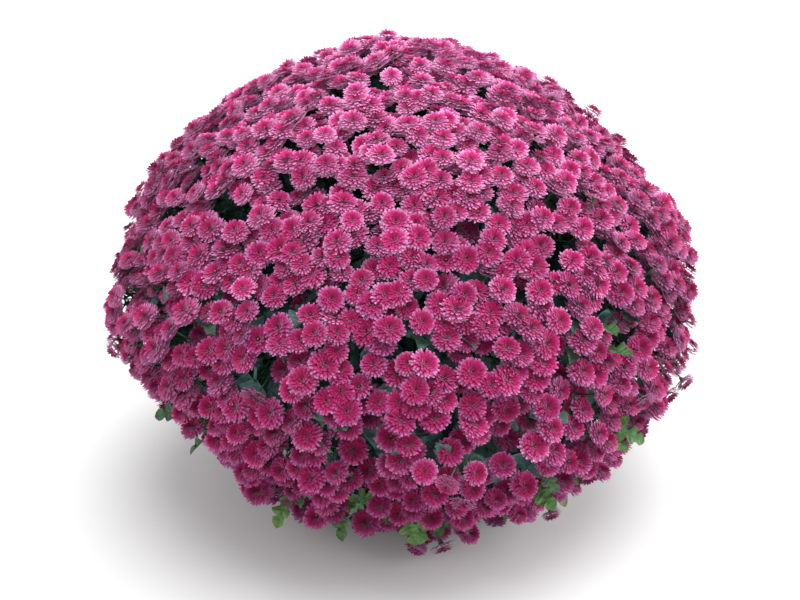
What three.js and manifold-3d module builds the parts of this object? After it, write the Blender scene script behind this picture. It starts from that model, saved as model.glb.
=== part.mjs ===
// A potted ball chrysanthemum: a nursery pot full of soil, leafy stems that rise from the soil and bend
// out to the whole surface of a ball, and the double blooms that cover the ball.
// Millimetres, +Z up. The origin is the centre of the pot's base, on the ground.
import * as THREE from 'three';
import { mergeVertices } from 'three/addons/utils/BufferGeometryUtils.js';
import Module from 'manifold-3d';

const wasm = await Module();
wasm.setup();

// ---------------------------------------------------------------- driving dimensions

// the ball of blooms
const BALL_RADIUS = 350; // of its widest circle
const BALL_MIDDLE = 270; // height of the widest circle above the ground
const BALL_RISE = 298; // from the widest circle to the crown
const BALL_DROP = 312; // from the widest circle to where the lower curve would close
const RISE_ROUNDNESS = 1.76; // powers of the curve above and below: 2 is an ellipse, less is more pointed
const DROP_ROUNDNESS = 1.68;
const BALL_LOWEST = -57; // latitude of the lowest blooms and leaves, degrees
const LOPSIDED = 14; // how far the underside has grown towards +X
const LUMP = 0.012; // height of the ball's slow swells, as a share of its size
const GROUND_GAP = 6; // the lowest petal or leaf above the ground

// blooms: fewer and larger than on the plant, and still covering the ball
const PLACE_COUNT = 172; // places for blooms, and for leaves at the lower rim
const PLACE_WANDER = 0.02; // random shift of a place, radians
const PLACE_DEPTH = 16; // of a bloom's outer petals below the ball's skin
const PLACE_SINK = 8; // how much deeper a bloom may sit
const BLOOM_RADIUS = 50;
const SIZE_SPREAD = 0.16;
const BLOOM_PETALS = 7;
const PETAL_GAP = 0.6; // between petals of neighbouring blooms
const FACE_UP = 0.35; // how far blooms turn from the skin's normal towards the light
const STALK_RADIUS = 4;

// a bloom's shape, as shares of its radius
const HEART_HEIGHT = 0.26;
const INNER_RADIUS = 0.52;
const INNER_HEIGHT = 0.36;
const NOTCH_RADIUS = 0.68;
const NOTCH_HEIGHT = -0.04;
const NECK_HEIGHT = -0.3;

// sprays: each is one leafy stem with the blooms it carries
const SPRAY_COUNT = 21;
const SPRAY_LOWEST = -38; // latitude that the lowest spray's centre stays above, degrees
const SPRAY_GAP = 3; // between the cores of neighbouring sprays
const STALK_MARGIN = 13; // from the middle of a stalk's foot to the cell's wall
const CORE_DEPTH = 42; // of a core's outer face, below the ball's skin
const CORE_THICKNESS = 13;
const CORE_LOWEST = -44; // latitude of the cores' lower edge, degrees
const CORE_EDGE_SHORTEST = 0.08; // a shorter edge of a cell is left out, radians
const STALK_FOOT_DEPTH = 0.6 * CORE_THICKNESS; // below a core's outer face

// stems and leaves
const STEM_RADIUS = 3.6;
const STEM_SIDES = 4;
const STEM_STEPS = 6;
const STEM_RISE = 150; // height of the bend's handle above the soil
const STEM_HANDLE = 100; // length of the bend's handle below the spray
const STEM_SEAT = 1.7; // between a stem's end and the core it carries
const BRANCH_STEP = 4; // the step of the stem at which its branch and rim leaves leave
const LEAF_STEPS = [5, 4]; // the steps of the stem at which its inner leaves leave
const BRANCH_GAP = 5; // between a branch's end and the core over it
const BRANCH_SPREAD = 0.55; // of a branch's end, from the cell's centre to its corner
const BRANCH_FOOT = 2.6;
const BRANCH_TIP = 1.6;
const LEAF_LENGTH = 56;
const LEAF_WIDTH = 40;
const LEAF_THICKNESS = 1.2;
const LEAF_FOLD = 0.3; // rise of the blade beside its midrib
const LEAF_ARCH = 0.18; // droop of the tip, as a share of the length
const LEAF_MARGIN = 4; // between an inner leaf and its cell's walls
const LEAF_SCALES = [1, 0.9, 0.8, 0.7, 0.6, 0.5, 0.4]; // the largest that fits is taken
const LEAF_HUB = [0.45, 0];
const LEAF_EDGE = [[0, 0.06], [0.28, 0.5], [0.44, 0.2], [0.72, 0.4]]; // one side, from base to tip
const RIM_LEAF_LATITUDE = -50; // below it, places are leaves but for one in three
const RIM_BLOOM_EVERY = 3;
const RIM_LEAF_BASE = 62; // depth of a rim leaf's base below the ball's skin
const RIM_LEAF_LENGTH = 74;
const PETIOLE_RADIUS = 1.8;

// the pot and its soil
const POT_HEIGHT = 200;
const POT_BASE_RADIUS = 95;
const POT_TOP_RADIUS = 124;
const POT_RIM_RADIUS = 131;
const POT_RIM_HEIGHT = 20;
const POT_WALL = 3;
const POT_FLOOR = 6.5;
const POT_SIDES = 20;
const GROOVE_INNER = 45; // the drain groove under the base
const GROOVE_OUTER = 78;
const GROOVE_DEPTH = 3;
const GROOVE_SLOPE = 2;
const DRAIN_RADIUS = 7;
const DRAIN_SIDES = 6;
const DRAIN_COUNT = 4;
const SOIL_TOP = 182;
const SOIL_CROWN = 5; // how far the soil's middle stands above its edge
const SOIL_GAP = 0.3;
const HOLE_DEPTH = 24;
const HOLE_HALF = 4.7; // half the width of a stem's hole
const HOLE_NEAREST = 24; // distance of the holes from the pot's axis
const HOLE_FURTHEST = 96;

const GOLDEN_ANGLE = Math.PI * (3 - Math.sqrt(5));
const UP = new THREE.Vector3(0, 0, 1);
const SEED = 20;

// ---------------------------------------------------------------- materials

const bloomMaterial = new THREE.MeshStandardMaterial({ color: 0xa23f74, roughness: 0.7, metalness: 0 });
const leafMaterial = new THREE.MeshStandardMaterial({ color: 0x3f5f33, roughness: 0.75, metalness: 0 });
const soilMaterial = new THREE.MeshStandardMaterial({ color: 0x33271e, roughness: 1, metalness: 0 });
const potMaterial = new THREE.MeshStandardMaterial({ color: 0x2b2d2e, roughness: 0.55, metalness: 0 });

// ---------------------------------------------------------------- solids

// A closed mesh as a solid for joining and cutting, with its faces turned outward.
function toSolid(geometry) {
  const bare = geometry.clone();
  bare.deleteAttribute('normal');
  bare.deleteAttribute('uv');
  const merged = mergeVertices(bare, 1e-4);
  const vertProperties = new Float32Array(merged.attributes.position.array);
  const triVerts = new Uint32Array(merged.index.array);
  const solid = new wasm.Manifold(new wasm.Mesh({ numProp: 3, vertProperties, triVerts }));
  if (solid.volume() > 0) return solid;
  for (let at = 0; at < triVerts.length; at += 3) {
    [triVerts[at + 1], triVerts[at + 2]] = [triVerts[at + 2], triVerts[at + 1]];
  }
  return new wasm.Manifold(new wasm.Mesh({ numProp: 3, vertProperties, triVerts }));
}

function fromSolid(solid) {
  const mesh = solid.getMesh();
  const geometry = new THREE.BufferGeometry();
  geometry.setAttribute('position', new THREE.BufferAttribute(mesh.vertProperties, 3));
  geometry.setIndex(new THREE.BufferAttribute(mesh.triVerts, 1));
  geometry.computeVertexNormals();
  return geometry;
}

function fuse(geometries) {
  return fromSolid(geometries.map(toSolid).reduce((whole, solid) => whole.add(solid)));
}

function cut(geometry, holes) {
  return fromSolid(holes.map(toSolid).reduce((whole, hole) => whole.subtract(hole), toSolid(geometry)));
}

// The faces between two rings of corner numbers that run the same way round and start side by side.
function band(upper, lower) {
  const faces = [];
  const upperSteps = upper.length > 1 ? upper.length : 0;
  const lowerSteps = lower.length > 1 ? lower.length : 0;
  let i = 0;
  let j = 0;
  while (i < upperSteps || j < lowerSteps) {
    const upperTurn = i < upperSteps ? (i + 1) / upperSteps : Infinity;
    const lowerTurn = j < lowerSteps ? (j + 1) / lowerSteps : Infinity;
    const above = upper[i % upper.length];
    const below = lower[j % lower.length];
    if (upperTurn <= lowerTurn) {
      i += 1;
      faces.push(above, below, upper[i % upper.length]);
    } else {
      j += 1;
      faces.push(above, below, lower[j % lower.length]);
    }
  }
  return faces;
}

// A closed body from rings of points, top to bottom and counterclockwise from above. A ring can be a
// single point, and a first or last ring that isn't is closed by flat faces.
function lofted(rings) {
  let used = 0;
  const numbered = rings.map((points) => points.map(() => used++));
  const faces = numbered.slice(1).flatMap((lower, k) => band(numbered[k], lower));
  const top = numbered[0];
  const bottom = numbered.at(-1);
  for (let k = 2; k < top.length; k++) faces.push(top[0], top[k - 1], top[k]);
  for (let k = 2; k < bottom.length; k++) faces.push(bottom[0], bottom[k], bottom[k - 1]);
  const geometry = new THREE.BufferGeometry().setFromPoints(rings.flat());
  geometry.setIndex(faces);
  return geometry;
}

// Evenly spaced angles round a circle.
function turns(count, start = 0) {
  return Array.from({ length: count }, (_, k) => start + (k * 2 * Math.PI) / count);
}

// Points round a circle about an axis.
function circle(centre, axis, radius, count, start = 0) {
  const tilt = new THREE.Quaternion().setFromUnitVectors(UP, axis);
  return turns(count, start).map((angle) =>
    new THREE.Vector3(radius * Math.cos(angle), radius * Math.sin(angle), 0)
      .applyQuaternion(tilt)
      .add(centre),
  );
}

// A straight tapering rod from its foot to its tip.
function rod(foot, tip, footRadius, tipRadius, sides) {
  const axis = tip.clone().sub(foot).normalize();
  return lofted([circle(tip, axis, tipRadius, sides), circle(foot, axis, footRadius, sides)]);
}

// A tube of a few flat sides along a line.
function tube(line, radius, sides, steps) {
  const corners = turns(sides).map((angle) => new THREE.Vector2(Math.cos(angle), Math.sin(angle)));
  const section = new THREE.Shape(corners.map((corner) => corner.multiplyScalar(radius)));
  return new THREE.ExtrudeGeometry(section, { steps, extrudePath: line, bevelEnabled: false });
}

function turned(profile, sides) {
  const lathe = new THREE.LatheGeometry(profile.map(([r, z]) => new THREE.Vector2(r, z)), sides);
  return lathe.rotateX(Math.PI / 2);
}

// ---------------------------------------------------------------- the ball's skin

// Seeded random draws between 0 and 1.
function draws(seed) {
  let state = seed;
  return () => {
    state = (state + 0x6d2b79f5) | 0;
    let mixed = Math.imul(state ^ (state >>> 15), 1 | state);
    mixed = (mixed + Math.imul(mixed ^ (mixed >>> 7), 61 | mixed)) ^ mixed;
    return ((mixed ^ (mixed >>> 14)) >>> 0) / 2 ** 32;
  };
}

const radians = THREE.MathUtils.degToRad;

function directionAt(latitude, azimuth) {
  const level = Math.cos(latitude);
  return new THREE.Vector3(level * Math.cos(azimuth), level * Math.sin(azimuth), Math.sin(latitude));
}

// Distance from the ball's middle to its skin: half a rounded lens above and half a deeper one below,
// with slow swells round it.
function skinReach(direction) {
  const level = Math.hypot(direction.x, direction.y);
  const above = direction.z > 0;
  const height = above ? BALL_RISE : BALL_DROP;
  const roundness = above ? RISE_ROUNDNESS : DROP_ROUNDNESS;
  const sum = (level / BALL_RADIUS) ** roundness + (Math.abs(direction.z) / height) ** roundness;
  const azimuth = Math.atan2(direction.y, direction.x);
  const swell = 1 + LUMP * level ** 2 * Math.sin(3 * azimuth + 5 * direction.z);
  return swell * sum ** (-1 / roundness);
}

function skinPoint(direction, depth) {
  const point = direction.clone().multiplyScalar(skinReach(direction) - depth);
  point.x += LOPSIDED * Math.max(0, -direction.z);
  point.z += BALL_MIDDLE;
  return point;
}

// Two directions along the skin, the second of them towards the crown.
function tangents(direction) {
  const across = new THREE.Vector3().crossVectors(UP, direction).normalize();
  const upward = new THREE.Vector3().crossVectors(direction, across);
  return { across, upward };
}

function skinNormal(direction) {
  const step = 0.01;
  const { across, upward } = tangents(direction);
  const slope = (side) => {
    const ahead = direction.clone().addScaledVector(side, step).normalize();
    const behind = direction.clone().addScaledVector(side, -step).normalize();
    return skinPoint(ahead, 0).sub(skinPoint(behind, 0));
  };
  return slope(across).cross(slope(upward)).normalize();
}

// Directions from the ball's middle that share its skin evenly, from the crown down, each a golden
// angle further round than the one before.
function evenDirections(count, lowest) {
  const steps = 400;
  const rows = [{ latitude: Math.PI / 2, area: 0, level: 0, z: BALL_RISE }];
  for (let step = 1; step <= steps; step++) {
    const latitude = THREE.MathUtils.lerp(Math.PI / 2, radians(lowest), step / steps);
    const last = rows.at(-1);
    const reach = skinReach(directionAt(latitude, 0));
    const level = reach * Math.cos(latitude);
    const z = reach * Math.sin(latitude);
    const area = last.area + ((level + last.level) / 2) * Math.hypot(level - last.level, z - last.z);
    rows.push({ latitude, area, level, z });
  }
  const whole = rows.at(-1).area;
  return Array.from({ length: count }, (_, index) => {
    const wanted = (whole * (index + 0.5)) / count;
    const row = rows.find(({ area }) => area >= wanted);
    return directionAt(row.latitude, index * GOLDEN_ANGLE);
  });
}

// ---------------------------------------------------------------- sprays and their cells

const sprays = evenDirections(SPRAY_COUNT, SPRAY_LOWEST).map((direction, index) => ({
  name: `spray_${String(index + 1).padStart(2, '0')}`,
  direction,
  azimuth: Math.atan2(direction.y, direction.x),
}));

// A spray's cell is the cone of directions nearer to it than to any other spray, above the lower edge.
// Each border is a plane through the ball's middle, given by its inward normal.
function cellBorders(spray) {
  const midways = sprays
    .filter((other) => other !== spray)
    .map((other) => spray.direction.clone().sub(other.direction).normalize());
  return [...midways, directionAt(radians(CORE_LOWEST + 90), spray.azimuth)];
}

// How far a point, given from the ball's middle, lies inside the walls of a cell.
function insideCell(spray, point) {
  return Math.min(...spray.walls.map((wall) => wall.dot(point)));
}

// The direction moved towards the cell's centre until it lies deep enough inside at the core.
function broughtInside(spray, direction, margin) {
  const distance = BALL_RADIUS - CORE_DEPTH;
  const steps = 25;
  const moves = Array.from({ length: steps }, (_, k) =>
    direction.clone().lerp(spray.direction, k / steps).normalize(),
  );
  return moves.find((moved) => insideCell(spray, moved) * distance >= margin);
}

function nearestSpray(direction) {
  return sprays.reduce((best, spray) =>
    spray.direction.dot(direction) > best.direction.dot(direction) ? spray : best,
  );
}

// The corners and edge middles of a cell, as directions in turn round its centre.
function cellOutline(spray) {
  const { across, upward } = tangents(spray.direction);
  const inset = SPRAY_GAP / 2 / (BALL_RADIUS - CORE_DEPTH);
  const span = 2;
  let outline = [[-span, -span], [span, -span], [span, span], [-span, span]];
  for (const border of cellBorders(spray)) {
    const base = border.dot(spray.direction) - inset;
    const inside = ([x, y]) => base + x * border.dot(across) + y * border.dot(upward);
    outline = outline.flatMap((here, k) => {
      const next = outline[(k + 1) % outline.length];
      const [now, then] = [inside(here), inside(next)];
      const kept = now >= 0 ? [here] : [];
      if (now >= 0 === then >= 0) return kept;
      const share = now / (now - then);
      return [...kept, [here[0] + share * (next[0] - here[0]), here[1] + share * (next[1] - here[1])]];
    });
  }
  const after = (list, k) => list[(k + 1) % list.length];
  const corners = outline.filter(([x, y], k) => {
    const [nextX, nextY] = after(outline, k);
    return Math.hypot(nextX - x, nextY - y) > CORE_EDGE_SHORTEST;
  });
  return corners
    .flatMap(([x, y], k) => {
      const [nextX, nextY] = after(corners, k);
      return [[x, y], [(x + nextX) / 2, (y + nextY) / 2]];
    })
    .map(([x, y]) =>
      spray.direction.clone().addScaledVector(across, x).addScaledVector(upward, y).normalize(),
    );
}

// A cell's walls stand on its outline and meet at the ball's middle.
for (const spray of sprays) {
  spray.outline = cellOutline(spray);
  spray.walls = spray.outline.map((corner, k) => {
    const next = spray.outline[(k + 1) % spray.outline.length];
    return corner.clone().cross(next).normalize();
  });
}

// The smaller core of a spray's head of blooms: a plate that follows the ball inside the spray's cell.
function core(spray) {
  const layer = (directions, depth) => directions.map((direction) => skinPoint(direction, depth));
  const under = CORE_DEPTH + CORE_THICKNESS;
  return lofted([
    layer([spray.direction], CORE_DEPTH),
    layer(spray.outline, CORE_DEPTH),
    layer(spray.outline, under),
    layer([spray.direction], under),
  ]);
}

// The point that lies so far under the outer face of a spray's core, in a direction inside its cell.
function underCore(spray, direction, below) {
  const { outline } = spray;
  const after = (k) => outline[(k + 1) % outline.length];
  const isPast = (corner) => spray.direction.clone().cross(corner).dot(direction) >= 0;
  const sector = outline.findIndex((corner, k) => isPast(corner) && !isPast(after(k)));
  const corners = [spray.direction, outline[sector], after(sector)];
  const face = new THREE.Plane().setFromCoplanarPoints(
    ...corners.map((corner) => skinPoint(corner, CORE_DEPTH)),
  );
  const ray = new THREE.Ray(skinPoint(direction, skinReach(direction)), direction);
  return ray.at(ray.distanceToPlane(face) - below, new THREE.Vector3());
}

// ---------------------------------------------------------------- blooms

const random = draws(SEED);

// Places on the ball: most hold a bloom, and most of the lowest hold a leaf.
const places = evenDirections(PLACE_COUNT, BALL_LOWEST).map((even, index) => {
  const wander = () => (random() - 0.5) * 2 * PLACE_WANDER;
  const direction = even.add(new THREE.Vector3(wander(), wander(), wander())).normalize();
  const low = direction.z < Math.sin(radians(RIM_LEAF_LATITUDE));
  return {
    direction,
    centre: skinPoint(direction, PLACE_DEPTH + PLACE_SINK * random()),
    axis: skinNormal(direction).addScaledVector(UP, FACE_UP).normalize(),
    size: BLOOM_RADIUS * (1 + SIZE_SPREAD * (random() - 0.5)),
    spin: random(),
    spray: nearestSpray(direction),
    isLeaf: low && index % RIM_BLOOM_EVERY !== 0,
  };
});

// A point of a place's bloom or leaf, drawn back until it keeps clear of the neighbouring places,
// whose borders lie midway, and of the ground.
function keptClear(place, point) {
  const arm = point.clone().sub(place.centre);
  const groundRoom = place.centre.z - GROUND_GAP;
  let reach = -arm.z > groundRoom ? groundRoom / -arm.z : 1;
  for (const other of places) {
    if (other === place) continue;
    const towards = other.centre.clone().sub(place.centre);
    const room = (towards.length() - PETAL_GAP) / 2;
    const along = arm.dot(towards.normalize());
    if (along > room) reach = Math.min(reach, room / along);
  }
  return place.centre.clone().addScaledVector(arm, reach);
}

// A double bloom: an outer ring of petals, an inner ring that stands higher in the notches between
// them, a sunken heart, and a short stalk down into the spray's core.
function bloom(place) {
  const { axis, centre, size, spin } = place;
  const halfPetal = Math.PI / BLOOM_PETALS;
  const along = (height) => centre.clone().addScaledVector(axis, height * size);
  const petalRing = (radius, height, start) =>
    circle(along(height), axis, radius * size, BLOOM_PETALS, start).map((point) =>
      keptClear(place, point),
    );
  const notches = petalRing(NOTCH_RADIUS, NOTCH_HEIGHT, spin);
  const tips = petalRing(1, 0, spin + halfPetal);
  const foot = broughtInside(place.spray, place.direction, STALK_MARGIN);
  return lofted([
    [along(HEART_HEIGHT)],
    petalRing(INNER_RADIUS, INNER_HEIGHT, spin),
    notches.flatMap((notch, k) => [notch, tips[k]]),
    circle(along(NECK_HEIGHT), axis, STALK_RADIUS, 3, spin),
    circle(underCore(place.spray, foot, STALK_FOOT_DEPTH), axis, STALK_RADIUS, 3, spin),
  ]);
}

// ---------------------------------------------------------------- stems and leaves

// The mouth of a spray's hole in the soil: the lower the spray, the nearer the pot's wall.
function holeMouth(spray) {
  const latitude = Math.asin(spray.direction.z);
  const share = (Math.PI / 2 - latitude) / (Math.PI / 2 - radians(BALL_LOWEST));
  const distance = THREE.MathUtils.lerp(HOLE_NEAREST, HOLE_FURTHEST, share);
  return directionAt(0, spray.azimuth).multiplyScalar(distance).setZ(SOIL_TOP);
}

// A stem's line: straight up out of its hole, then in one bend out to the core it carries.
function stemLine(spray) {
  const mouth = holeMouth(spray);
  const root = mouth.clone().addScaledVector(UP, SOIL_GAP - HOLE_DEPTH);
  const seat = skinPoint(spray.direction, CORE_DEPTH + CORE_THICKNESS + STEM_SEAT);
  const risen = mouth.clone().addScaledVector(UP, STEM_RISE);
  const handle = seat.clone().addScaledVector(skinNormal(spray.direction), -STEM_HANDLE);
  const line = new THREE.CurvePath();
  line.add(new THREE.LineCurve3(root, mouth));
  line.add(new THREE.CubicBezierCurve3(mouth, risen, handle, seat));
  return line;
}

// A lobed blade, folded up along its midrib and arched down to its tip. Its outline is given in shares
// of its length and width, and each corner is passed through kept.
function leaf({ base, ahead, up, length, width, kept = (point) => point }) {
  const side = new THREE.Vector3().crossVectors(up, ahead).normalize();
  const face = new THREE.Vector3().crossVectors(ahead, side);
  const right = LEAF_EDGE.map(([along, across]) => [along, -across]);
  const outline = [...right, [1, 0], ...LEAF_EDGE.toReversed()];
  const corner = ([along, across], lift) => {
    const rise = LEAF_FOLD * Math.abs(across) * width - LEAF_ARCH * along ** 2 * length;
    const point = base.clone().addScaledVector(ahead, along * length);
    point.addScaledVector(side, across * width).addScaledVector(face, rise);
    return kept(point).addScaledVector(face, lift);
  };
  const layer = (shares, lift) => shares.map((share) => corner(share, lift));
  const half = LEAF_THICKNESS / 2;
  return lofted([
    layer([LEAF_HUB], half),
    layer(outline, half),
    layer(outline, -half),
    layer([LEAF_HUB], -half),
  ]);
}

// A branch from the stem to under the core, towards a corner of the spray's cell.
function branch(spray, fork, corner) {
  const out = spray.direction.clone().lerp(corner, BRANCH_SPREAD).normalize();
  return rod(fork, underCore(spray, out, CORE_THICKNESS + BRANCH_GAP), BRANCH_FOOT, BRANCH_TIP, 3);
}

// A leaf that spreads from the stem towards a corner of the spray's cell, as large as fits inside.
function innerLeaf(spray, base, corner) {
  const ahead = corner.clone().sub(spray.direction).projectOnPlane(spray.direction).normalize();
  const middle = new THREE.Vector3(0, 0, BALL_MIDDLE);
  const room = (scale) => {
    const far = base.clone().addScaledVector(ahead, scale * LEAF_LENGTH);
    return insideCell(spray, far.sub(middle));
  };
  const scale = LEAF_SCALES.find((tried) => room(tried) >= LEAF_MARGIN);
  const size = { length: scale * LEAF_LENGTH, width: scale * LEAF_WIDTH };
  return leaf({ base, ahead, up: spray.direction, ...size });
}

// A leaf that hangs out under the ball's lower rim, on a petiole from its spray's fork.
function rimLeaf(place, fork) {
  const base = skinPoint(place.direction, RIM_LEAF_BASE);
  const ahead = place.direction;
  const inner = base.clone().addScaledVector(ahead, PETIOLE_RADIUS);
  return [
    rod(fork, inner, PETIOLE_RADIUS, PETIOLE_RADIUS, 3),
    leaf({
      base,
      ahead,
      up: UP,
      length: RIM_LEAF_LENGTH,
      width: LEAF_WIDTH,
      kept: (point) => keptClear(place, point),
    }),
  ];
}

function leafyStem(spray) {
  const line = stemLine(spray);
  const steps = line.getSpacedPoints(STEM_STEPS);
  const corner = (share) => spray.outline[Math.floor(share * spray.outline.length)];
  const rimLeaves = places.filter((place) => place.isLeaf && place.spray === spray);
  return fuse([
    tube(line, STEM_RADIUS, STEM_SIDES, STEM_STEPS),
    branch(spray, steps[BRANCH_STEP], corner(0)),
    ...LEAF_STEPS.map((step, k) => innerLeaf(spray, steps[step], corner((k + 1) / 3))),
    ...rimLeaves.flatMap((place) => rimLeaf(place, steps[BRANCH_STEP])),
  ]);
}

function bloomHead(spray) {
  const own = places.filter((place) => !place.isLeaf && place.spray === spray);
  return fuse([core(spray), ...own.map(bloom)]);
}

// ---------------------------------------------------------------- pot and soil

function pot() {
  const wallSlope = (POT_TOP_RADIUS - POT_BASE_RADIUS) / (POT_HEIGHT - POT_RIM_HEIGHT);
  const innerBottom = POT_BASE_RADIUS + wallSlope * POT_FLOOR - POT_WALL;
  const innerTop = POT_BASE_RADIUS + wallSlope * POT_HEIGHT - POT_WALL;
  const shell = turned(
    [
      [0, 0],
      [GROOVE_INNER, 0],
      [GROOVE_INNER + GROOVE_SLOPE, GROOVE_DEPTH],
      [GROOVE_OUTER - GROOVE_SLOPE, GROOVE_DEPTH],
      [GROOVE_OUTER, 0],
      [POT_BASE_RADIUS, 0],
      [POT_TOP_RADIUS, POT_HEIGHT - POT_RIM_HEIGHT],
      [POT_RIM_RADIUS, POT_HEIGHT - POT_RIM_HEIGHT + 3],
      [POT_RIM_RADIUS, POT_HEIGHT],
      [innerTop, POT_HEIGHT],
      [innerBottom, POT_FLOOR],
      [0, POT_FLOOR],
    ],
    POT_SIDES,
  );
  const drainDistance = (GROOVE_INNER + GROOVE_OUTER) / 2;
  const drains = turns(DRAIN_COUNT).map((angle) =>
    new THREE.CylinderGeometry(DRAIN_RADIUS, DRAIN_RADIUS, 4 * POT_FLOOR, DRAIN_SIDES)
      .rotateX(Math.PI / 2)
      .translate(drainDistance * Math.cos(angle), drainDistance * Math.sin(angle), 0),
  );
  return cut(shell, drains);
}

function soil() {
  const wallSlope = (POT_TOP_RADIUS - POT_BASE_RADIUS) / (POT_HEIGHT - POT_RIM_HEIGHT);
  const bottom = POT_FLOOR + SOIL_GAP;
  const radiusAt = (z) => POT_BASE_RADIUS + wallSlope * z - POT_WALL - SOIL_GAP;
  const body = turned(
    [
      [0, bottom],
      [radiusAt(bottom), bottom],
      [radiusAt(SOIL_TOP - SOIL_CROWN), SOIL_TOP - SOIL_CROWN],
      [HOLE_FURTHEST, SOIL_TOP],
      [0, SOIL_TOP],
    ],
    POT_SIDES,
  );
  const holes = sprays.map((spray) => {
    const { x, y } = holeMouth(spray);
    const hole = new THREE.BoxGeometry(2 * HOLE_HALF, 2 * HOLE_HALF, 2 * HOLE_DEPTH);
    return hole.rotateZ(spray.azimuth).translate(x, y, SOIL_TOP);
  });
  return cut(body, holes);
}

// ---------------------------------------------------------------- the plant

const plant = new THREE.Group();

function addNode(name, geometry, material) {
  const mesh = new THREE.Mesh(geometry, material);
  mesh.name = name;
  plant.add(mesh);
}

addNode('pot', pot(), potMaterial);
addNode('soil', soil(), soilMaterial);
for (const spray of sprays) {
  addNode(`${spray.name}_stem`, leafyStem(spray), leafMaterial);
  addNode(`${spray.name}_blooms`, bloomHead(spray), bloomMaterial);
}

export default plant;
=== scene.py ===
"""A potted ball chrysanthemum: a nursery pot of soil, leafy stems that rise from it and bend out to the
whole surface of a ball, and some 2,600 small double blooms that cover the ball. Metres, +Z up."""
import math

import bpy
import numpy as np
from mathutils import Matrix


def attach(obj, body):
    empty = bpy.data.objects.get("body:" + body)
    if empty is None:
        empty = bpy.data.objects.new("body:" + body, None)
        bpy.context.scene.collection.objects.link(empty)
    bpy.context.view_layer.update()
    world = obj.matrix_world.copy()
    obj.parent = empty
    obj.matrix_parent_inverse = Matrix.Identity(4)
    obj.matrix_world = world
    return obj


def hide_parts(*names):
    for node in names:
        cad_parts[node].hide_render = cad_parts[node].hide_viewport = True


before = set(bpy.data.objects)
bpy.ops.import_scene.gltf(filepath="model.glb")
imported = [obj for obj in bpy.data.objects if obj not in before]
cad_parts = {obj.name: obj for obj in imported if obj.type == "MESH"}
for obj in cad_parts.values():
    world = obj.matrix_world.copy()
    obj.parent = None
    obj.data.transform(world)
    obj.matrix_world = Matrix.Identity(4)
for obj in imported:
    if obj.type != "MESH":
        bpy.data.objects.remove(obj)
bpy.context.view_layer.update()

# -------- the ball, as in the part's source

BALL_RADIUS = 0.350
BALL_MIDDLE = 0.270
BALL_RISE = 0.298
BALL_DROP = 0.312
RISE_ROUNDNESS = 1.76  # power of the outline's curve above the middle; 2 is an ellipse
DROP_ROUNDNESS = 1.68
BALL_LOWEST = -57.0  # latitude of the lowest blooms, in degrees
LOPSIDED = 0.014  # how far the ball's foot lies to the right of its middle
LUMP = 0.012  # share of the reach by which the ball swells and shrinks
LUMPS_ROUND = 3
LUMPS_UPWARD = 5
LATITUDE_STEPS = 400
SPRAY_COUNT = 21
SPRAY_LOWEST = -38.0  # latitude of the lowest spray, in degrees
SEAT_DEPTH = 0.058  # of a stem's end, below the skin
STEM_RISE = 0.150  # handles of a stem's curve, at the soil and at its end
STEM_HANDLE = 0.100
SOIL_TOP = 0.182
SOIL_CROWN = 0.005
SOIL_GAP = 0.0003
POT_HEIGHT = 0.200
POT_BASE_RADIUS = 0.095
POT_TOP_RADIUS = 0.124
POT_RIM_RADIUS = 0.131
POT_RIM_HEIGHT = 0.020
POT_WALL = 0.003
POT_FLOOR = 0.0065
GROOVE_INNER = 0.045
GROOVE_OUTER = 0.078
GROOVE_DEPTH = 0.003
GROOVE_SLOPE = 0.002
DRAIN_RADIUS = 0.007
DRAIN_DISTANCE = 0.0615
DRAIN_COUNT = 4
HOLE_NEAREST = 0.024
HOLE_FURTHEST = 0.096
HOLE_DEPTH = 0.022
GOLDEN_ANGLE = math.pi * (3 - math.sqrt(5))
UP = np.array([0.0, 0.0, 1.0])

# -------- what grows on it

# heights of places on the ball are those of unit directions from its middle, from -1 to 1

BLOOM_PLACES = 2700
BLOOMING_SHARE = 0.75  # of all directions, where the blooms are
CROWN_CROWDING = 0.48
BLOOM_JITTER = 0.6  # of the spacing
EASE_ROUNDS = 3
EASE_DISTANCE = 0.80  # of the spacing, under which blooms are eased apart
EASE_SHARE = 0.45
GAP_HEIGHTS = (-0.7, 0.7)
GAP_SHARES = (0.28, 0.0)  # of the places in gaps, at those heights
BARE_SHARE = 0.30  # of the places in gaps, without a bloom; the other blooms there sit deep
GAP_WAVE = 27.0  # radians of the patches' waves in each radian round the ball
GAP_GRAIN = 0.25
MOUND_WAVE = 11.0
MOUND_HEIGHT = 0.006
BLOOM_RADIUS = 0.0141
BLOOM_SPREAD = 0.14  # of the radius, either way
BLOOM_DEPTH = 0.0115  # of a bloom's base below the skin, on the whole
BLOOM_DEPTH_SPREAD = 0.005
LEAST_DEPTH = -0.002
SUNK_SHARE = 0.13  # of the other blooms, fewer towards the crown, which sit a little deeper
SUNK_DEPTHS = (0.013, 0.036)
FACE_UP = 0.86  # how far the blooms turn up
FACE_EASE = 0.75  # share of that turn which the blooms nearer the crown leave out
FACE_LIFT = 1.15  # share of a downward slope that a bloom turns up against
FACE_SPREAD = 0.24
HANGING_SHARE = 0.38  # of the blooms on the lower rim, which nod outward
HANGING_HEIGHT = -0.62
HANGING_TURN = -0.3
STRAY_SHARE = 0.03  # of the blooms on the lower half, on stems that stand out from the ball
STRAY_HEIGHT = 0.1
STRAY_REACH = (0.005, 0.013)
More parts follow.
